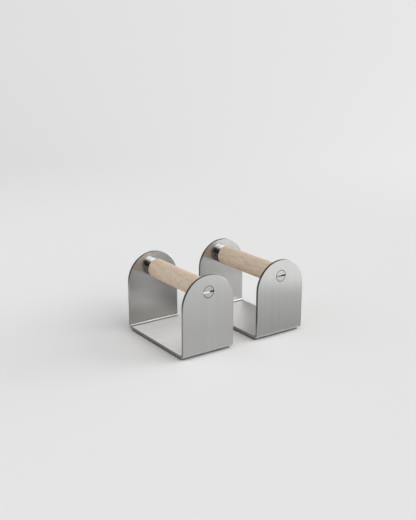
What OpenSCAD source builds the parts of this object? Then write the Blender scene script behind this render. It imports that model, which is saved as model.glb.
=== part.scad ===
// A pair of low parallette bars, standing parallel side by side.
// Each bar is a wooden grip clamped between the arched cheeks of a bent sheet bracket.
// X runs along the grips towards the front cheeks, Y runs across, Z is up and the floor is at Z = 0.

/* [Bracket] */
// Width of each bracket across its cheeks
bracket_w = 110; // [96:1:130]
// Length of each bracket over the outer faces of its cheeks
bracket_l = 195; // [170:1:240]
// Height of each bracket from the underside of its base to the top of its arches
bracket_h = 148; // [130:0.5:180]
// Thickness of the bent sheet
sheet_t = 5; // [4.5:0.5:8]
// Inside radius of the two bends
bend_r = 3; // [1:0.5:6]
// Bevel that breaks the sheet's edges
edge_break = 0.5; // [0.2:0.1:1]

/* [Grip] */
// Diameter of the wooden grip
grip_d = 38; // [34:0.5:44]
// Distance from the top of the arches down to the axis of the grip
axis_drop = 31; // [27:0.5:45]
// Radius on the rims of the grip's two ends
grip_ease = 1.5; // [0.5:0.25:3]

/* [Collars] */
// Length of the part of each collar that shows between the grip and the cheek
collar_l = 12.5; // [8:0.5:20]
// How far the rim of a collar lies inside the surface of the grip
collar_step = 0.25; // [0.1:0.05:1]
// Bevel on the two rims of a collar
collar_bevel = 0.5; // [0.2:0.1:1]
// Diameter of the spigot that centres a collar in the grip
spigot_d = 24; // [22:0.5:26]
// Length of the spigot
spigot_l = 5; // [3:0.5:8]

/* [Core rod] */
// Diameter of the tie rod through the grip
rod_d = 20; // [17:0.5:21]
// Gap that each end of the rod keeps from the spigot, so that the screws pull the stack tight
rod_gap = 1; // [0.5:0.25:2]
// Depth of the threaded hole in each end of the rod
tapped_depth = 24; // [20:1:30]

/* [Screws] */
// Thread diameter of the screws
screw_d = 12; // [10:0.5:12]
// Diameter of the screws' low flat heads
head_d = 22; // [20:0.5:24]
// Thickness of a head, which is also the depth of its seat in the cheek
head_h = 3; // [2.5:0.25:3.5]
// Bevel round the rim of a head
head_bevel = 0.4; // [0.2:0.1:0.8]
// Gap round a head in its seat
head_play = 0.6; // [0.3:0.1:1]
// Length of thread that each screw has in the rod
screw_grip = 16; // [12:1:18]
// Width of the screwdriver slot
slot_w = 3; // [2:0.25:3.5]
// Depth of the screwdriver slot
slot_depth = 2; // [1:0.1:2.3]
// Diameter of the clearance holes that the screws pass through
clearance_d = 14.5; // [14:0.25:15]

/* [Base pad] */
// Thickness of the rubber sole
pad_t = 4; // [2:0.5:6]
// How far the sole stays inside the edges of the flat base
pad_inset = 1; // [0.5:0.25:4]
// Corner radius of the sole
pad_corner_r = 2; // [1:0.5:8]

/* [Pair] */
// Distance between the two bars, from axis to axis
pair_spacing = 166; // [145:1:400]

/* [Hidden] */
// Radial play of the rod and the spigots in the grip
wood_play = 0.2;
// Radial play of a screw in its threaded hole
thread_play = 0.05;
// Extra depth of a pocket or a threaded hole past what sits in it
end_play = 0.3;
// Bevel at the tip of a screw and at the mouth of a threaded hole
lead_bevel = 1;
// How far a cutting shape runs past the face that it cuts
overcut = 1;

bend_outer_r = bend_r + sheet_t;
base_top_z = pad_t + sheet_t;
bend_axis_z = pad_t + bend_outer_r;
arch_r = bracket_w / 2;
arch_axis_z = pad_t + bracket_h - arch_r;
grip_axis_z = pad_t + bracket_h - axis_drop;
base_flat_l = bracket_l - 2 * bend_outer_r;
cheek_inner_x = bracket_l / 2 - sheet_t;
grip_l = 2 * (cheek_inner_x - collar_l);
collar_d = grip_d - 2 * collar_step;
pocket_depth = spigot_l + end_play;
rod_l = grip_l - 2 * (spigot_l + rod_gap);
screw_l = sheet_t + collar_l + spigot_l + rod_gap + screw_grip;
head_seat_d = head_d + 2 * head_play;

steel_colour = [0.72, 0.72, 0.71];
dark_polish_colour = [0.28, 0.28, 0.29];
turned_colour = [0.66, 0.66, 0.65];
plated_colour = [0.60, 0.60, 0.58];
wood_colour = [0.79, 0.69, 0.58];
rubber_colour = [0.20, 0.19, 0.18];

$fn = 96;

// Cross-section of the sheet, its thickness along x from 0 and its width along y, with its four edges broken
module sheet_section() {
    polygon([
        [edge_break, -arch_r],
        [sheet_t - edge_break, -arch_r],
        [sheet_t, -arch_r + edge_break],
        [sheet_t, arch_r - edge_break],
        [sheet_t - edge_break, arch_r],
        [edge_break, arch_r],
        [0, arch_r - edge_break],
        [0, -arch_r + edge_break]
    ]);
}

// The flat base, swept along X with its underside on the sole
module base_plate() {
    translate([-base_flat_l / 2, 0, pad_t])
        rotate([90, 0, 90])
            linear_extrude(base_flat_l)
                rotate([0, 0, -90])
                    mirror([1, 0])
                        sheet_section();
}

// The quarter turn that joins the base to the cheek at the +X end
module bend() {
    translate([base_flat_l / 2, 0, bend_axis_z])
        rotate([90, 0, 0])
            rotate([0, 0, -90])
                rotate_extrude(angle = 90)
                    translate([bend_r, 0])
                        sheet_section();
}

// The round top of a cheek, a disc with the same broken edges as the sheet
module arch_disc() {
    rotate([0, 90, 0])
        rotate_extrude()
            polygon([
                [0, 0],
                [arch_r - edge_break, 0],
                [arch_r, edge_break],
                [arch_r, sheet_t - edge_break],
                [arch_r - edge_break, sheet_t],
                [0, sheet_t]
            ]);
}

// The upright cheek at the +X end
module cheek() {
    translate([cheek_inner_x, 0, bend_axis_z])
        linear_extrude(arch_axis_z - bend_axis_z)
            sheet_section();
    translate([cheek_inner_x, 0, arch_axis_z])
        arch_disc();
}

// Screw hole with a flat seat for the head, sunk along +Z from the outer face of a cheek at Z = 0
module seated_hole() {
    rotate_extrude()
        polygon([
            [0, -overcut],
            [head_seat_d / 2, -overcut],
            [head_seat_d / 2, head_h],
            [clearance_d / 2, head_h],
            [clearance_d / 2, sheet_t + overcut],
            [0, sheet_t + overcut]
        ]);
}

// Puts a piece that points along +Z at the outer face of the front cheek, on the grip's axis, pointing inwards
module into_front() {
    translate([bracket_l / 2, 0, grip_axis_z])
        rotate([0, -90, 0])
            children();
}

// Turns a front piece end for end to the rear
module at_rear() {
    mirror([1, 0, 0])
        children();
}

// Puts a piece of a single bar in the left or the right bar
module in_left_bar() {
    translate([0, -pair_spacing / 2, 0])
        children();
}

module in_right_bar() {
    translate([0, pair_spacing / 2, 0])
        children();
}

// One strip of sheet, bent twice into a U with arched cheeks
module bracket() {
    color(steel_colour)
        difference() {
            union() {
                base_plate();
                for (end = [0, 1]) {
                    mirror([end, 0, 0]) {
                        bend();
                        cheek();
                    }
                }
            }
            into_front() seated_hole();
            at_rear() into_front() seated_hole();
        }
}

// Half of the grip's section through its axis, with eased rims, before it is bored
module grip_profile() {
    half_l = grip_l / 2;
    grip_r = grip_d / 2;
    translate([0, -half_l])
        square([grip_r - grip_ease, grip_l]);
    translate([0, -half_l + grip_ease])
        square([grip_r, grip_l - 2 * grip_ease]);
    for (side = [-1, 1])
        translate([grip_r - grip_ease, side * (half_l - grip_ease)])
            circle(grip_ease);
}

// The wooden dowel, bored for the rod and recessed at both ends for the spigots
module grip() {
    color(wood_colour)
        translate([0, 0, grip_axis_z])
            rotate([0, 90, 0])
                difference() {
                    rotate_extrude()
                        intersection() {
                            grip_profile();
                            translate([0, -grip_l])
                                square([grip_d, 2 * grip_l]);
                        }
                    cylinder(d = rod_d + 2 * wood_play, h = grip_l + 2 * overcut, center = true);
                    for (side = [-1, 1])
                        translate([0, 0, side * (grip_l / 2 - pocket_depth / 2 + overcut / 2)])
                            cylinder(d = spigot_d + 2 * wood_play, h = pocket_depth + overcut, center = true);
                }
}

// Spacer between the front cheek and the grip, with its spigot in the wood
module front_collar() {
    rim_r = collar_d / 2;
    color(dark_polish_colour)
        into_front()
            translate([0, 0, sheet_t])
                rotate_extrude()
                    polygon([
                        [clearance_d / 2, 0],
                        [rim_r - collar_bevel, 0],
                        [rim_r, collar_bevel],
                        [rim_r, collar_l - collar_bevel],
                        [rim_r - collar_bevel, collar_l],
                        [spigot_d / 2, collar_l],
                        [spigot_d / 2, collar_l + spigot_l - collar_bevel],
                        [spigot_d / 2 - collar_bevel, collar_l + spigot_l],
                        [clearance_d / 2, collar_l + spigot_l]
                    ]);
}

// Tie rod through the grip, tapped at both ends for the screws
module core_rod() {
    tapped_r = screw_d / 2 + thread_play;
    color(plated_colour)
        translate([0, 0, grip_axis_z])
            rotate([0, 90, 0])
                difference() {
                    cylinder(d = rod_d, h = rod_l, center = true);
                    for (end = [0, 1])
                        mirror([0, 0, end])
                            translate([0, 0, rod_l / 2]) {
                                translate([0, 0, -tapped_depth])
                                    cylinder(r = tapped_r, h = tapped_depth + overcut);
                                translate([0, 0, -lead_bevel])
                                    cylinder(r1 = tapped_r, r2 = tapped_r + lead_bevel + overcut,
                                             h = lead_bevel + overcut);
                            }
                }
}

// Screw with a low flat head, flush with the cheek, and one straight slot, which lies level
module front_screw() {
    color(turned_colour)
        into_front()
            difference() {
                rotate_extrude()
                    polygon([
                        [0, 0],
                        [head_d / 2 - head_bevel, 0],
                        [head_d / 2, head_bevel],
                        [head_d / 2, head_h],
                        [screw_d / 2, head_h],
                        [screw_d / 2, screw_l - lead_bevel],
                        [screw_d / 2 - lead_bevel, screw_l],
                        [0, screw_l]
                    ]);
                translate([-slot_w / 2, -head_d, -overcut])
                    cube([slot_w, 2 * head_d, slot_depth + overcut]);
            }
}

// Rubber sole under the flat of the base, set in from its edges, with round corners
module base_pad() {
    pad_l = base_flat_l - 2 * pad_inset;
    pad_w = bracket_w - 2 * pad_inset;
    color(rubber_colour)
        linear_extrude(pad_t)
            union() {
                square([pad_l, pad_w - 2 * pad_corner_r], center = true);
                square([pad_l - 2 * pad_corner_r, pad_w], center = true);
                for (sx = [-1, 1], sy = [-1, 1])
                    translate([sx * (pad_l / 2 - pad_corner_r), sy * (pad_w / 2 - pad_corner_r)])
                        circle(pad_corner_r);
            }
}

module left_bracket() { in_left_bar() bracket(); }
module left_grip() { in_left_bar() grip(); }
module left_front_collar() { in_left_bar() front_collar(); }
module left_rear_collar() { in_left_bar() at_rear() front_collar(); }
module left_core_rod() { in_left_bar() core_rod(); }
module left_front_screw() { in_left_bar() front_screw(); }
module left_rear_screw() { in_left_bar() at_rear() front_screw(); }
module left_base_pad() { in_left_bar() base_pad(); }

module right_bracket() { in_right_bar() bracket(); }
module right_grip() { in_right_bar() grip(); }
module right_front_collar() { in_right_bar() front_collar(); }
module right_rear_collar() { in_right_bar() at_rear() front_collar(); }
module right_core_rod() { in_right_bar() core_rod(); }
module right_front_screw() { in_right_bar() front_screw(); }
module right_rear_screw() { in_right_bar() at_rear() front_screw(); }
module right_base_pad() { in_right_bar() base_pad(); }

left_bracket();
left_grip();
left_front_collar();
left_rear_collar();
left_core_rod();
left_front_screw();
left_rear_screw();
left_base_pad();
right_bracket();
right_grip();
right_front_collar();
right_rear_collar();
right_core_rod();
right_front_screw();
right_rear_screw();
right_base_pad();
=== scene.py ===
"""Looks, light and camera for the pair of parallette bars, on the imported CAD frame."""

import math

import bpy
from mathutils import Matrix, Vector


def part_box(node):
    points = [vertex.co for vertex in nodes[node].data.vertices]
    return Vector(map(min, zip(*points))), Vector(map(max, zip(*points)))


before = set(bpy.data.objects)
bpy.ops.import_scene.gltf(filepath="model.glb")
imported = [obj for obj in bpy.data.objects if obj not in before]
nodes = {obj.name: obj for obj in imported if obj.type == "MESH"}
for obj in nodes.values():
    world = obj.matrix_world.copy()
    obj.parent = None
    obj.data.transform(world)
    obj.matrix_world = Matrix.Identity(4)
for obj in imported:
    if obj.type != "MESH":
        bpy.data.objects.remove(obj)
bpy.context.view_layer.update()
scene = bpy.context.scene


# Camera, from a fit to the edges of both bars in the photograph

CAMERA_AT = Vector((1.13107, -0.80653, 0.54511))
CAMERA_AZIMUTH = math.radians(145.073)
CAMERA_PITCH = math.radians(-16.160)
CAMERA_LENS = 52.165


def heading(azimuth, elevation):
    """Unit vector at an azimuth from +X towards +Y and an elevation above the floor, in radians."""
    level = math.cos(elevation)
    return Vector((level * math.cos(azimuth), level * math.sin(azimuth), math.sin(elevation)))


camera = bpy.data.objects.new("camera", bpy.data.cameras.new("camera"))
camera.data.lens = CAMERA_LENS
camera.data.sensor_width = 36
camera.data.clip_start = 0.01
camera.data.clip_end = 50
camera.location = CAMERA_AT
camera.rotation_mode = "QUATERNION"
camera.rotation_quaternion = heading(CAMERA_AZIMUTH, CAMERA_PITCH).to_track_quat("-Z", "Y")
scene.collection.objects.link(camera)
scene.camera = camera


# Node graphs


class Graph:
    """A material's or the world's node tree, built by calls that return sockets."""

    def __init__(self, tree):
        self.tree = tree
        tree.nodes.clear()

    def node(self, kind, inputs=None, **settings):
        made = self.tree.nodes.new(kind)
        for name, value in settings.items():
            setattr(made, name, value)
        for name, value in (inputs or {}).items():
            self.feed(made.inputs[name], value)
        return made

    def feed(self, socket, value):
        if isinstance(value, bpy.types.NodeSocket):
            self.tree.links.new(value, socket)
        else:
            socket.default_value = value

    def math(self, operation, a, b=0.0, c=0.0):
        made = self.tree.nodes.new("ShaderNodeMath")
        made.operation = operation
        for socket, value in zip(made.inputs, (a, b, c)):
            self.feed(socket, value)
        return made.outputs[0]

    def plus(self, a, b):
        return self.math("ADD", a, b)

    def times(self, a, b):
        return self.math("MULTIPLY", a, b)

    def vector(self, operation, a, b=(0.0, 0.0, 0.0)):
        made = self.tree.nodes.new("ShaderNodeVectorMath")
        made.operation = operation
        self.feed(made.inputs[0], a)
        self.feed(made.inputs[1], b)
        return made.outputs["Value" if operation in ("LENGTH", "DOT_PRODUCT") else "Vector"]

    def part(self, vector, axis):
        """One coordinate of a vector."""
        return self.node("ShaderNodeSeparateXYZ", {"Vector": vector}).outputs[axis]

    def point(self):
        """The surface point in metres."""
        return self.node("ShaderNodeTexCoord").outputs["Object"]

    def normal(self):
        """The direction in which the surface faces."""
        return self.node("ShaderNodeNewGeometry").outputs["Normal"]

    def place(self, scale, offset=(0.0, 0.0, 0.0)):
        """The surface point moved by offset and then scaled axis by axis."""
        return self.vector("MULTIPLY", self.vector("ADD", self.point(), offset), scale)

    def noise(self, at, detail=3.0, roughness=0.5, distortion=0.0):
        settings = {"Detail": detail, "Roughness": roughness, "Distortion": distortion}
        made = self.node("ShaderNodeTexNoise", {"Vector": at, "Scale": 1.0, **settings})
        return made.outputs["Fac"]

    def span(self, value, limits, levels, smooth=False):
        """The first level up to the first limit, the second from the second limit on, and a slope between."""
        ends = {"From Min": limits[0], "From Max": limits[1], "To Min": levels[0], "To Max": levels[1]}
        kind = "SMOOTHSTEP" if smooth else "LINEAR"
        made = self.node("ShaderNodeMapRange", {"Value": value, **ends}, interpolation_type=kind)
        return made.outputs["Result"]

    def rising(self, value, limits, smooth=False):
        return self.span(value, limits, (0.0, 1.0), smooth)

    def falling(self, value, limits, smooth=False):
        return self.span(value, limits, (1.0, 0.0), smooth)

    def ramp(self, factor, stops):
        made = self.node("ShaderNodeValToRGB", {"Fac": factor})
        elements = made.color_ramp.elements
        while len(elements) < len(stops):
            elements.new(1.0)
        for element, (position, colour) in zip(elements, stops):
            element.position = position
            element.color = (*colour, 1.0)
        return made.outputs["Color"]

    def mix(self, factor, a, b):
        """Colour a where the factor is 0 and colour b where it is 1."""
        made = self.node("ShaderNodeMix", data_type="RGBA")
        for index, value in ((0, factor), (6, a), (7, b)):
            if isinstance(value, tuple):
                value = (*value, 1.0)
            self.feed(made.inputs[index], value)
        return made.outputs[2]

    def choose(self, factor, a, b):
        """Number a where the factor is 0 and number b where it is 1."""
        made = self.node("ShaderNodeMix", {"Factor": factor}, data_type="FLOAT")
        self.feed(made.inputs[2], a)
        self.feed(made.inputs[3], b)
        return made.outputs[0]

    def bump(self, height, distance, normal=None, strength=0.5):
        """Relief with a distance in metres. A negative strength turns the ridges into grooves."""
        made = self.node("ShaderNodeBump", {"Height": height, "Strength": strength, "Distance": distance})
        if normal is not None:
            self.feed(made.inputs["Normal"], normal)
        return made.outputs["Normal"]

    def blend(self, factor, first, second):
        """The first shader where the factor is 0 and the second where it is 1."""
        made = self.node("ShaderNodeMixShader", {"Fac": factor})
        self.tree.links.new(first.outputs[0], made.inputs[1])
        self.tree.links.new(second.outputs[0], made.inputs[2])
        return made

    def finish(self, shader, output_kind="ShaderNodeOutputMaterial"):
        """Joins a shader to the tree's output."""
        output = self.node(output_kind)
        self.tree.links.new(shader.outputs[0], output.inputs["Surface"])


def material(name, constants, build):
    """A material around one Principled shader, which holds the constants. build adds what varies."""
    made = bpy.data.materials.new(name)
    made.use_nodes = True
    g = Graph(made.node_tree)
    shader = g.node("ShaderNodeBsdfPrincipled", constants)
    for socket, value in build(g).items():
        g.feed(shader.inputs[socket], value)
    g.finish(shader)
    return made


def wear(node_name, made):
    """Puts a finished material in every slot of a CAD node."""
    for place in nodes[node_name].material_slots:
        place.material = made


# Places on the bars, from the CAD boxes, in metres

SIDES = ("left", "right")


def middle(node_name):
    low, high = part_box(node_name)
    return (low + high) / 2


SHEET_LOW, SHEET_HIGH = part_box("left_bracket")
SCREW_LOW, SCREW_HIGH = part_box("left_front_screw")
FACE_X = SHEET_HIGH.x
INNER_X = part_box("left_front_collar")[1].x
SHEET_T = FACE_X - INNER_X
ARCH_R = (SHEET_HIGH.y - SHEET_LOW.y) / 2
ARCH_Z = SHEET_HIGH.z - ARCH_R
SCREW_Z = middle("left_front_screw").z
HEAD_R = (SCREW_HIGH.y - SCREW_LOW.y) / 2
GRIP_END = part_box("left_grip")[1].x
ACROSS_AND_UP = (0.0, 1.0, 1.0)


def from_bar(g, side, height):
    """The point's place across and above an axis along X at a height in a bar, as a vector in Y and Z."""
    return g.place(ACROSS_AND_UP, (0.0, -middle(f"{side}_bracket").y, -height))


# Masks: 1 where something is, 0 elsewhere. Limits of how squarely a surface faces are cosines.

BEVELS = (0.45, 0.60)
CUT_EDGES = (0.80, 0.90)
FLAT_BASE = (0.90, 0.99)
BEND_FOOT = (0.80, 0.92)
UPRIGHT = (0.02, 0.25)
TOP_OF_COLLAR = (0.55, 0.90)
NEAR_THE_FOLDS = (INNER_X - 0.0085, INNER_X - 0.0050)
LOW_ON_THE_CHEEK = (0.025, 0.085)
INNER_FACES = (SHEET_T - 0.0008, SHEET_T - 0.0002)
SEAT_DEPTH = (0.0001, 0.0004)
SLOT_DEPTH = (0.0003, 0.0006)
SLOT_WALL = (0.00005, 0.0002)
SEAT_R = HEAD_R + 0.0008


def off_middle(g):
    """Distance from the middle of the bar's length."""
    return g.math("ABSOLUTE", g.part(g.point(), "X"))


def facing_up(g, limits):
    """Surfaces that face upwards as squarely as the limits say."""
    return g.rising(g.part(g.normal(), "Z"), limits)


def edgewise(g, side):
    """How squarely the surface faces outwards along the sheet: 0 on faces, 0.7 on bevels, 1 on cut edges.

    Outwards means sideways on the straight edges and away from the arch's middle on the arch.
    """
    from_arch = g.vector("MAXIMUM", from_bar(g, side, ARCH_Z), (0.0, -1.0, 0.0))
    return g.vector("DOT_PRODUCT", g.normal(), g.vector("NORMALIZE", from_arch))


def sunk(g, depths):
    """0 at the outer faces of the cheeks and 1 deeper in."""
    return g.rising(g.math("SUBTRACT", FACE_X, off_middle(g)), depths)


def fold_painted_shade(g):
    """Painted shade along the folds, on the base and the foot of the bend."""
    return g.times(g.rising(off_middle(g), NEAR_THE_FOLDS, smooth=True), facing_up(g, BEND_FOOT))


def painted_low_cheek_shade(g):
    """The lower part of the cheeks' inner faces, where shade is painted."""
    inner = g.times(sunk(g, INNER_FACES), g.falling(g.part(g.normal(), "Z"), UPRIGHT))
    return g.times(inner, g.falling(g.part(g.point(), "Z"), LOW_ON_THE_CHEEK, smooth=True))


def in_seat(g, side):
    """The seats that the screw heads lie in, where shade is painted."""
    reach = g.vector("LENGTH", from_bar(g, side, SCREW_Z))
    return g.times(g.math("LESS_THAN", reach, SEAT_R), sunk(g, SEAT_DEPTH))


# Brushed steel. The grain tuples count noise cells per metre along X, Y and Z.

ACROSS_THE_STRIP = {"X": 0.02, "Y": 1.0, "Z": 0.0}
BRUSH_LINES = (9.0, 1500.0, 9.0)
BRUSH_BANDS = (3.0, 170.0, 3.0)
SMUDGES = (28.0, 28.0, 28.0)
BANDS_SHARE = 0.45
USUAL_NOISE = (0.3, 0.7)
BRUSHED_TONES = [
    (0.30, (0.582, 0.578, 0.568)),
    (0.50, (0.612, 0.608, 0.598)),
    (0.70, (0.642, 0.638, 0.628)),
]
BRUSHED_ROUGHNESS = (0.20, 0.25)
SMUDGED_FROM = (0.35, 0.7)
SMUDGE_ROUGHNESS = (0.0, 0.03)
DULL_ROUGHNESS = 0.20
BRUSHED_ANISOTROPY = 0.75
LINE_RELIEF = 0.000006
SMUDGE_RELIEF = 0.00003
CUT_STEEL = (0.30, 0.295, 0.285)
# The next four: painted shade on the cut edges and bevels above a height, which is lower on the right bar.
CUT_EDGE_PAINTED_SHADE = (0.11, 0.108, 0.104)
PAINTED_EDGE_SHADE_FROM = {"left": 0.085, "right": 0.020}
PAINTED_EDGE_SHADE_OVER = 0.025
BEVEL_PAINTED_SHADE = (0.24, 0.237, 0.230)
# Painted shade along the folds.
FOLD_PAINTED_SHADE = (0.28, 0.277, 0.270)
# The next three: dust and painted light on the base's top, far lighter and less metallic on the left bar.
DUST_AND_PAINTED_LIGHT = {"left": (0.92, 0.92, 0.915), "right": (0.60, 0.598, 0.592)}
DUST_AND_LIGHT_COVER = {"left": 0.80, "right": 0.20}
DUST_AND_LIGHT_EVENNESS = (0.75, 1.0)
# Painted shade low on the cheeks' inner faces, darker on the left bar.
LOW_CHEEK_PAINTED_SHADE = {"left": (0.34, 0.336, 0.327), "right": (0.54, 0.536, 0.526)}
# Near-black painted shade in the screw seats, in one end of each slot and round each screw head's rim.
RECESS_PAINTED_SHADE = (0.020, 0.0195, 0.019)


def brushed_steel(side, seed):
    """Sheet brushed along the strip, up one cheek, over the base and down the other.

    The lines change fast across the strip, in Y, and slowly along it. Dust and painted light cover part of
    the base's metal, far lighter on the left bar. Painted shade darkens the lower inner faces, the folds, the
    bevels and cut edges high on the cheeks, and the screw seats.
    """

    def build(g):
        shift = (seed, seed, seed)
        lines = g.noise(g.place(BRUSH_LINES, shift), detail=4.0, roughness=0.65)
        bands = g.noise(g.place(BRUSH_BANDS, shift), detail=3.0, roughness=0.55)
        smudge = g.noise(g.place(SMUDGES, shift), detail=4.0, roughness=0.6, distortion=0.4)
        base = facing_up(g, FLAT_BASE)
        squarely = edgewise(g, side)
        bevel = g.rising(squarely, BEVELS)
        cut = g.rising(squarely, CUT_EDGES)
        painted_edge_shade_heights = (PAINTED_EDGE_SHADE_FROM[side], PAINTED_EDGE_SHADE_FROM[side] + PAINTED_EDGE_SHADE_OVER)
        up_the_cheek = g.rising(g.part(g.point(), "Z"), painted_edge_shade_heights)
        dust = g.times(base, g.span(smudge, USUAL_NOISE, DUST_AND_LIGHT_EVENNESS))

        tone = g.plus(g.times(bands, BANDS_SHARE), g.times(lines, 1.0 - BANDS_SHARE))
        colour = g.ramp(tone, BRUSHED_TONES)
        # Painted shade low on the cheeks' inner faces.
        colour = g.mix(painted_low_cheek_shade(g), colour, LOW_CHEEK_PAINTED_SHADE[side])
        # Dust and painted light on the base's top.
        colour = g.mix(dust, colour, DUST_AND_PAINTED_LIGHT[side])
        # Painted shade along the folds.
        colour = g.mix(fold_painted_shade(g), colour, FOLD_PAINTED_SHADE)
        # Painted shade on the bevels high on the cheeks.
        colour = g.mix(g.times(bevel, up_the_cheek), colour, BEVEL_PAINTED_SHADE)
        # Cut edges in cut steel, with painted shade on them high on the cheeks.
        colour = g.mix(cut, colour, g.mix(up_the_cheek, CUT_STEEL, CUT_EDGE_PAINTED_SHADE))
        # Painted shade in the screw seats.
        colour = g.mix(in_seat(g, side), colour, RECESS_PAINTED_SHADE)

        rough = g.span(lines, USUAL_NOISE, BRUSHED_ROUGHNESS)
        rough = g.plus(rough, g.span(smudge, SMUDGED_FROM, SMUDGE_ROUGHNESS))
        rough = g.plus(rough, g.times(g.math("MAXIMUM", cut, base), DULL_ROUGHNESS))
        return {
            "Base Color": colour,
            # Dust and painted light make the base's top less metallic.
            "Metallic": g.math("MULTIPLY_ADD", dust, -DUST_AND_LIGHT_COVER[side], 1.0),
            "Roughness": rough,
            "Tangent": g.node("ShaderNodeCombineXYZ", ACROSS_THE_STRIP).outputs[0],
            "Normal": g.bump(lines, LINE_RELIEF, g.bump(smudge, SMUDGE_RELIEF)),
        }

    return material(f"{side}_sheet_steel", {"Anisotropic": BRUSHED_ANISOTROPY}, build)


# Turned steel of the collars, screws and rods

TOOL_RINGS = (2600.0, 60.0, 60.0)
RING_RELIEF = 0.000008
OIL_FILM = (70.0, 70.0, 70.0)
FILM_RANGE = (0.3, 0.75)
FILM_DARKENING = 0.90
COLLAR_TONE = (0.20, 0.197, 0.192)
COLLAR_ROUGHNESS = (0.08, 0.16)
# Painted highlight on the collars' tops.
COLLAR_PAINTED_HIGHLIGHT = (0.50, 0.495, 0.485)
SCREW_TONE = (0.60, 0.596, 0.585)
SCREW_ROUGHNESS = (0.18, 0.27)
ROD_TONE = (0.50, 0.50, 0.48)
ROD_ROUGHNESS = (0.30, 0.42)
# The next five: the slots' floors painted lighter in the left screws and darker in the right ones, and
# painted shade in one end of each slot and round each head's rim.
PAINTED_SLOT_FLOOR = {"left": (0.72, 0.716, 0.706), "right": (0.26, 0.258, 0.252)}
SLOT_END_SHADE_FROM = {"left": 0.0030, "right": 0.0010}
SLOT_END_SHADE_OVER = 0.0020
HEAD_RIM = (HEAD_R - 0.0006, HEAD_R - 0.0004)
RIM_PAINTED_SHADE = (0.0, 0.85)


def turned_steel(name, seed, tone, roughness, marks=None):
    """Turned and polished steel round an axis along X, with fine rings left by the tool.

    marks takes the graph and the colour and returns the colour with painted light and shade on it.
    """

    def build(g):
        shift = (seed, seed, seed)
        rings = g.noise(g.place(TOOL_RINGS, shift), detail=2.0)
        film = g.noise(g.place(OIL_FILM, shift), detail=4.0, roughness=0.6)
        filmed = tuple(c * FILM_DARKENING for c in tone)
        colour = g.ramp(film, [(0.35, filmed), (0.65, tone)])
        return {
            "Base Color": marks(g, colour) if marks else colour,
            "Roughness": g.span(film, FILM_RANGE, roughness),
            "Normal": g.bump(rings, RING_RELIEF),
        }

    return material(name, {"Metallic": 1.0}, build)


def painted_collar_highlight(g, colour):
    """A painted highlight on a collar's top."""
    top = g.rising(g.part(g.normal(), "Z"), TOP_OF_COLLAR, smooth=True)
    return g.mix(top, colour, COLLAR_PAINTED_HIGHLIGHT)


def painted_slot_light_and_shade(side):
    """The slot's tone, painted lighter in the left screws and darker in the right ones, with painted shade in
    one end of the slot and round the rim of the screw's head.
    """

    def marks(g, colour):
        from_axis = from_bar(g, side, SCREW_Z)
        # Painted light and shade: the slot floor's painted tone, painted shade in one end of the slot and
        # round the head's rim.
        slot_end_shade = g.rising(g.part(from_axis, "Y"), (SLOT_END_SHADE_FROM[side], SLOT_END_SHADE_FROM[side] + SLOT_END_SHADE_OVER))
        colour = g.mix(sunk(g, SLOT_DEPTH), colour, PAINTED_SLOT_FLOOR[side])
        colour = g.mix(g.times(sunk(g, SLOT_WALL), slot_end_shade), colour, RECESS_PAINTED_SHADE)
        return g.mix(g.span(g.vector("LENGTH", from_axis), HEAD_RIM, RIM_PAINTED_SHADE), colour, RECESS_PAINTED_SHADE)

    return marks


# Wood of the grips, along X. The grain tuples count noise cells per metre along X, Y and Z.

RING_DRIFT = (6.0, 22.0, 22.0)
RING_DRIFT_BY = 0.012
RINGS_PER_METRE = 330.0
RING_SHARPNESS = 1.8
BLOTCHES = (75.0, 150.0, 150.0)
STREAKS = (28.0, 380.0, 380.0)
FIBRES = (60.0, 1500.0, 1500.0)
FLECKS = (330.0, 620.0, 620.0)
SHARES = {"season": 0.08, "fibre": 0.16, "blotch": 0.40, "flecks": 0.36}
WOOD_TONES = [
    (0.36, (0.770, 0.640, 0.500)),
    (0.49, (0.680, 0.548, 0.415)),
    (0.62, (0.560, 0.430, 0.305)),
]
DARK_STREAK = (0.42, 0.31, 0.205)
STREAKED_FROM = (0.56, 0.70)
STREAK_COVER = (0.0, 0.30)
# The next three: painted light on the last two millimetres at each end of the grips.
GRIP_END_PAINTED_LIGHT = (0.86, 0.76, 0.63)
RIM_PLACE = (GRIP_END - 0.0022, GRIP_END - 0.0004)
RIM_COVER = (0.0, 0.55)
FIBRE_RELIEF = 0.00004
STREAK_RELIEF = 0.00006
STREAK_GROOVES = -0.6
WOOD_ROUGHNESS = (0.46, 0.62)
WOOD_CONSTANTS = {"Coat Weight": 0.08, "Coat Roughness": 0.35, "Specular IOR Level": 0.4}


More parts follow.
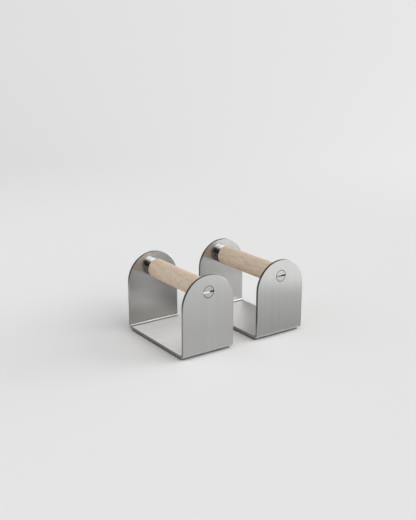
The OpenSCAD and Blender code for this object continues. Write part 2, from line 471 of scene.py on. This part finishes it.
def wood(name, heart, seed):
    """Pale ash or oak. heart is where the tree's middle lies in the Y-Z plane, in metres."""

    def build(g):
        from_heart = g.vector("LENGTH", g.place(ACROSS_AND_UP, (0.0, -heart[0], -heart[1])))
        drift = g.noise(g.place(RING_DRIFT, (seed, 0.0, 0.0)), detail=2.0, roughness=0.5)
        radius = g.plus(from_heart, g.times(drift, RING_DRIFT_BY))
        season = g.math("POWER", g.math("FRACT", g.times(radius, RINGS_PER_METRE)), RING_SHARPNESS)
        blotch = g.noise(g.place(BLOTCHES, (seed, 0.2, 0.0)), detail=3.0, roughness=0.65)
        streaks = g.noise(g.place(STREAKS, (seed, 0.0, 0.0)), detail=3.0, roughness=0.6)
        fibre = g.noise(g.place(FIBRES, (seed, 0.0, 0.0)), detail=3.0, roughness=0.6)
        flecks = g.noise(g.place(FLECKS, (seed, 0.3, 0.1)), detail=2.0, roughness=0.6)
        grain = g.plus(g.times(season, SHARES["season"]), g.times(fibre, SHARES["fibre"]))
        figure = g.plus(g.times(blotch, SHARES["blotch"]), g.times(flecks, SHARES["flecks"]))

        colour = g.ramp(g.plus(grain, figure), WOOD_TONES)
        colour = g.mix(g.span(streaks, STREAKED_FROM, STREAK_COVER), colour, DARK_STREAK)
        # Painted light at the grip's ends.
        colour = g.mix(g.span(off_middle(g), RIM_PLACE, RIM_COVER), colour, GRIP_END_PAINTED_LIGHT)
        return {
            "Base Color": colour,
            "Roughness": g.span(fibre, USUAL_NOISE, WOOD_ROUGHNESS),
            "Normal": g.bump(streaks, STREAK_RELIEF, g.bump(fibre, FIBRE_RELIEF), STREAK_GROOVES),
        }

    return material(name, WOOD_CONSTANTS, build)


# Rubber of the soles

RUBBER_GRAIN = (900.0, 900.0, 900.0)
RUBBER_RELIEF = 0.00005
RUBBER_DUST = (45.0, 45.0, 45.0)
RUBBER_TONES = [(0.35, (0.115, 0.112, 0.108)), (0.70, (0.165, 0.161, 0.155))]
RUBBER_ROUGHNESS = (0.72, 0.88)


def rubber(name):
    def build(g):
        grain = g.noise(g.place(RUBBER_GRAIN), detail=3.0, roughness=0.6)
        dust = g.noise(g.place(RUBBER_DUST), detail=4.0, roughness=0.6)
        return {
            "Base Color": g.ramp(dust, RUBBER_TONES),
            "Roughness": g.span(dust, USUAL_NOISE, RUBBER_ROUGHNESS),
            "Normal": g.bump(grain, RUBBER_RELIEF),
        }

    return material(name, {"Specular IOR Level": 0.3}, build)


# What each piece is made of

SEEDS = {"left": 0.37, "right": 1.91, "collars": 0.7, "rods": 4.1}
HEARTS = {"left": (-0.060, 0.030), "right": (0.155, 0.090)}
collar_steel = turned_steel("collar_steel", SEEDS["collars"], COLLAR_TONE, COLLAR_ROUGHNESS, painted_collar_highlight)
rod_steel = turned_steel("rod_steel", SEEDS["rods"], ROD_TONE, ROD_ROUGHNESS)
sole_rubber = rubber("sole_rubber")
for side in SIDES:
    seed = SEEDS[side]
    screw_name = f"{side}_screw_steel"
    screw_steel = turned_steel(screw_name, seed, SCREW_TONE, SCREW_ROUGHNESS, painted_slot_light_and_shade(side))
    wear(f"{side}_bracket", brushed_steel(side, seed))
    wear(f"{side}_grip", wood(f"{side}_grip_wood", HEARTS[side], seed))
    wear(f"{side}_core_rod", rod_steel)
    wear(f"{side}_base_pad", sole_rubber)
    for end in ("front", "rear"):
        wear(f"{side}_{end}_collar", collar_steel)
        wear(f"{side}_{end}_screw", screw_steel)


# Backdrop and floor. Brightness is linear, 1 for white.

PALE = 0.767
PALE_SLOPE = 0.13
LIT_SIDE = math.radians(55.4)
FLOOR_REACH = 30.0
FLOOR_WHITE = (0.80, 0.80, 0.80, 1.0)
FLOOR_GLOWS = (0.8, 2.4)
BEFORE_THE_BARS = (FACE_X, FACE_X + 0.01)


def pale_glow(g, direction):
    """Brightness of the plain backdrop in a direction, a little brighter towards the lit side."""
    level = g.vector("NORMALIZE", g.vector("MULTIPLY", direction, (1.0, 1.0, 0.0)))
    towards = g.vector("DOT_PRODUCT", level, heading(LIT_SIDE, 0.0))
    return g.math("MULTIPLY_ADD", towards, PALE_SLOPE, PALE)


# Painted reflection of the floor in the front cheeks, glowing for reflected rays only: distances in metres
# along the mirrored view, each with its brightnesses

MIRRORED_VIEW = math.pi - CAMERA_AZIMUTH
LEFT_DISTANCES = (0.02, 0.50)
LEFT_BRIGHTNESS = (0.64, 0.90)
RIGHT_DISTANCES = (0.25, 0.38)
RIGHT_BRIGHTNESS = (0.66, 1.14)
RIGHT_NEAR = (0.05, 0.25)
RIGHT_NEAR_DIMMED = (0.76, 1.0)
BETWEEN_THE_BARS = (-0.09, -0.05)


def floor_painted_reflection(g, point):
    """Painted reflection: how bright the floor before the bars glows in their front cheeks, dim close by and
    bright far off, for reflected rays only.
    """
    from_front = g.vector("SUBTRACT", point, (FACE_X, middle("right_bracket").y, 0.0))
    ahead = g.vector("DOT_PRODUCT", from_front, heading(MIRRORED_VIEW, 0.0))
    aside = g.vector("DOT_PRODUCT", from_front, heading(MIRRORED_VIEW + math.pi / 2, 0.0))
    before_left = g.span(ahead, LEFT_DISTANCES, LEFT_BRIGHTNESS)
    before_right = g.span(ahead, RIGHT_DISTANCES, RIGHT_BRIGHTNESS, smooth=True)
    before_right = g.times(before_right, g.span(ahead, RIGHT_NEAR, RIGHT_NEAR_DIMMED))
    return g.choose(g.rising(aside, BETWEEN_THE_BARS, smooth=True), before_left, before_right)


def stage_object(name, corners, paint):
    """A flat four-cornered piece of the set."""
    mesh = bpy.data.meshes.new(name)
    mesh.from_pydata(corners, [], [(0, 1, 2, 3)])
    mesh.materials.append(paint)
    made = bpy.data.objects.new(name, mesh)
    scene.collection.objects.link(made)


def floor():
    """A plain pale floor whose far part glows as the backdrop does, so that no horizon shows. Before the bars
    it glows for reflected rays only, a painted reflection.
    """
    paint = bpy.data.materials.new("floor_paint")
    paint.use_nodes = True
    g = Graph(paint.node_tree)
    point = g.point()
    matte = g.node("ShaderNodeBsdfDiffuse", {"Color": FLOOR_WHITE})
    # Painted reflection: the floor before the bars glows for reflected rays only.
    painted_reflection = g.node("ShaderNodeEmission", {"Strength": floor_painted_reflection(g, point)})
    glow = g.node("ShaderNodeEmission", {"Strength": pale_glow(g, point)})
    mirrored = g.node("ShaderNodeLightPath").outputs["Is Glossy Ray"]
    near = g.blend(g.times(g.rising(g.part(point, "X"), BEFORE_THE_BARS), mirrored), matte, painted_reflection)
    far = g.rising(g.vector("LENGTH", point), FLOOR_GLOWS, smooth=True)
    g.finish(g.blend(far, near, glow))
    r = FLOOR_REACH
    stage_object("floor", [(-r, -r, 0), (r, -r, 0), (r, r, 0), (-r, r, 0)], paint)


# Soft panels of the studio. Each has the azimuth and elevation of its middle, its half width and half height,
# the width of its soft edge, all in degrees, and its strength. A negative strength is a black flag.

PANELS = {
    "key": (40, 30, 50, 13, 8, 2.3),
    "key_low": (75, 8, 30, 14, 14, 4.6),
    "upper": (345, 62, 70, 12, 16, 1.0),
    "left": (255, 15, 30, 30, 24, 0.8),
    "low": (0, 10, 22, 10, 10, 0.5),
    "front_flag": (325, 20, 25, 16, 16, -0.8),
}
ROOM = 0.45


def window(g, angle, half, soft):
    """1 within half of 0, falling smoothly to 0 over soft, in degrees."""
    return g.falling(g.math("ABSOLUTE", angle), (half - soft / 2, half + soft / 2), smooth=True)


def turned_azimuth(g, direction, azimuth):
    """Angle in degrees between a direction and an azimuth, measured level."""
    a = math.radians(azimuth)
    ahead = g.vector("DOT_PRODUCT", direction, (math.cos(a), math.sin(a), 0.0))
    aside = g.vector("DOT_PRODUCT", direction, (-math.sin(a), math.cos(a), 0.0))
    return g.math("DEGREES", g.math("ARCTAN2", aside, ahead))


def surroundings():
    """The studio that lights the object and shows in its steel. The camera sees the plain backdrop."""
    world = bpy.data.worlds.new("studio")
    world.use_nodes = True
    scene.world = world
    g = Graph(world.node_tree)
    direction = g.node("ShaderNodeTexCoord").outputs["Generated"]
    elevation = g.math("DEGREES", g.math("ARCSINE", g.part(direction, "Z")))
    light = ROOM
    for azimuth, height, half_w, half_h, soft, strength in PANELS.values():
        across = window(g, turned_azimuth(g, direction, azimuth), half_w, soft)
        up = window(g, g.math("SUBTRACT", elevation, height), half_h, soft)
        light = g.math("MULTIPLY_ADD", g.times(across, up), strength, light)
    light = g.math("MAXIMUM", light, 0.0)
    seen = g.node("ShaderNodeLightPath").outputs["Is Camera Ray"]
    back = g.node("ShaderNodeBackground", {"Strength": g.choose(seen, light, pale_glow(g, direction))})
    back.inputs["Color"].default_value = (1.0, 1.0, 1.0, 1.0)
    g.finish(back, "ShaderNodeOutputWorld")


floor()
surroundings()

scene.view_settings.view_transform = "Standard"
scene.view_settings.look = "None"
scene.view_settings.exposure = 0.0
scene.view_settings.gamma = 1.0
